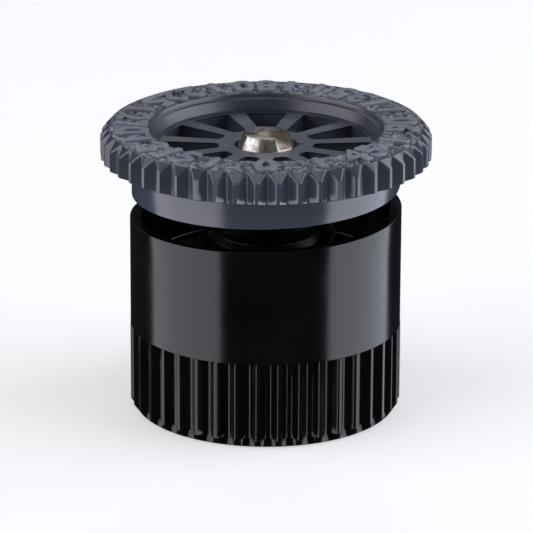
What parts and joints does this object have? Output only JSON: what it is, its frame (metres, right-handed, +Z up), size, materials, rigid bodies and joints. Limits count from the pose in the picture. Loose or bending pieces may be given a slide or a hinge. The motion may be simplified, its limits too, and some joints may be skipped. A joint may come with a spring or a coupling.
{
  "type": "adjustable arc spray nozzle",
  "caption": "Screw-on spray nozzle for a pop-up sprinkler riser, with a turning arc collar and a slotted screw that sets the throw.",
  "frame": {"origin": "centre of the bounding box's bottom face, on the flat bottom of the nozzle body", "axes": "+Z up along the nozzle's axis, from the riser thread to the arc collar; +Y towards the step of the helical rims"},
  "size_m": [0.0266, 0.0266, 0.0237],
  "materials": {
    "body_plastic": "gloss moulded black",
    "inner_plastic": "satin moulded black",
    "collar_plastic": "satin moulded slate grey, spark-eroded top",
    "acetal": "natural moulded acetal",
    "steel": "turned stainless steel",
    "seal_rubber": "black nitrile"
  },
  "bodies": {
    "body": {"nozzle_body": "body_plastic", "arc_seat": "inner_plastic"},
    "guide": {"throttle_guide": "acetal"},
    "collar": {"arc_collar": "collar_plastic", "deflector_core": "inner_plastic", "stem_clip": "steel"},
    "screw": {"radius_screw": "steel", "screw_o_ring": "seal_rubber", "screw_clip": "steel"},
    "plug": {"throttle_plug": "acetal"}
  },
  "joints": [
    {"name": "arc_lift", "type": "slide", "parent": "body", "child": "guide", "axis": [0, 0, 1], "range_m": [-0.0017, 0]},
    {"name": "arc_turn", "type": "hinge", "parent": "guide", "child": "collar", "pos_m": [0, 0, 0.0228], "axis": [0, 0, 1], "range_deg": [-360, 0]},
    {"name": "screw_turn", "type": "hinge", "parent": "guide", "child": "screw", "pos_m": [0, 0, 0.0228], "axis": [0, 0, 1], "range_deg": [-1080, 0]},
    {"name": "throttle_travel", "type": "slide", "parent": "guide", "child": "plug", "axis": [0, 0, 1], "range_m": [0, 0.0015]}
  ],
  "couplings": [
    {"joint": "arc_turn", "follows": "arc_lift", "rad_per_m": 3696},
    {"joint": "screw_turn", "follows": "throttle_travel", "rad_per_m": -12566}
  ]
}
